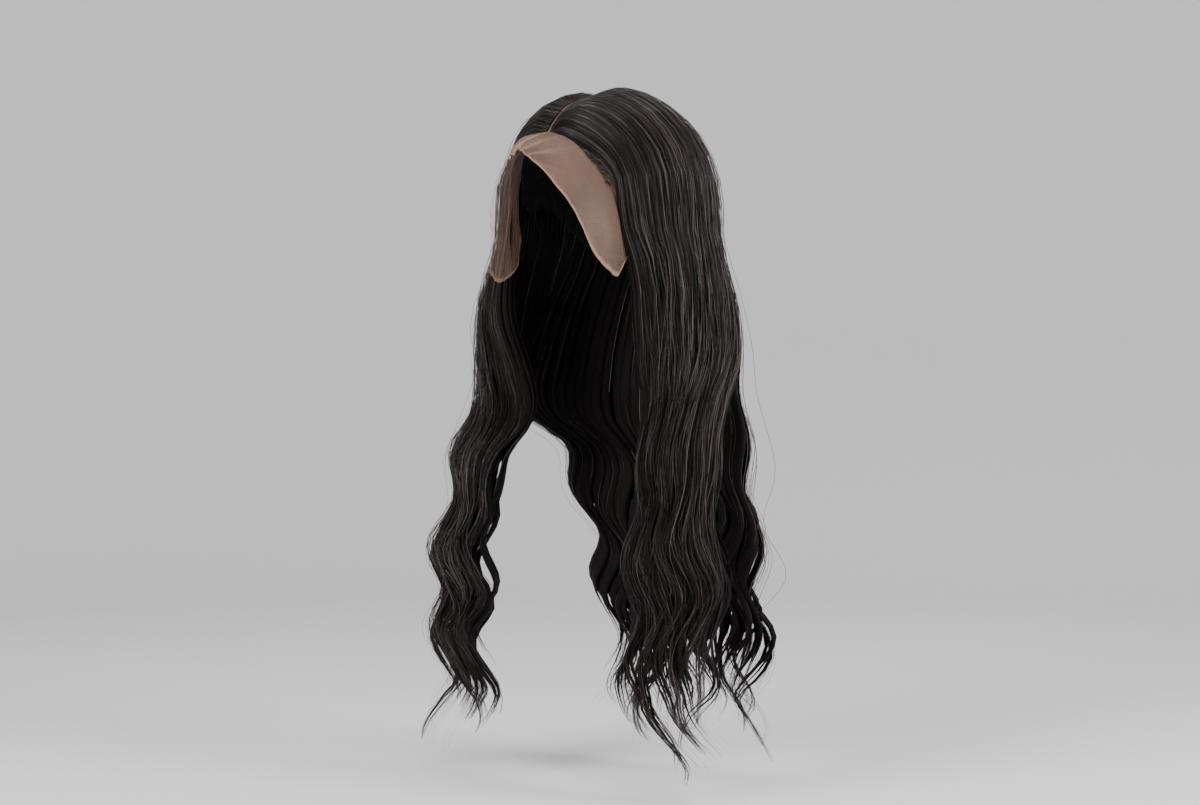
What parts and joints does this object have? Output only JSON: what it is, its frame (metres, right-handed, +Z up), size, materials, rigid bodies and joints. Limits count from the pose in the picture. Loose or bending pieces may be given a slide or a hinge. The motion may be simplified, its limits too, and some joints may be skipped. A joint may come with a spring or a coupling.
{
  "type": "synthetic lace-front wig",
  "caption": "Long dark body-wave wig with a centre part, a soft cap and a sheer lace front with ear tabs, in the shape it takes when worn.",
  "frame": {"origin": "inner top of the cap, where it sits on the crown of the head", "axes": "+Z up, the face opening looks along -Y, +X is the wearer's left"},
  "size_m": [0.3515, 0.2664, 0.6635],
  "materials": {
    "cap_net": "matte dark stretch net",
    "scalp_lace": "matte skin-toned lace that shows as a thin parting line",
    "lace": "sheer, finely woven, slightly shiny skin-toned lace",
    "hair": "near-black synthetic fibre with a soft grey streaked sheen along the strands"
  },
  "bodies": {
    "root": {"cap": "cap_net", "part_strip": "scalp_lace", "lace_front": "lace", "hair_left": "hair", "hair_right": "hair", "hair_back": "hair"}
  },
  "joints": []
}
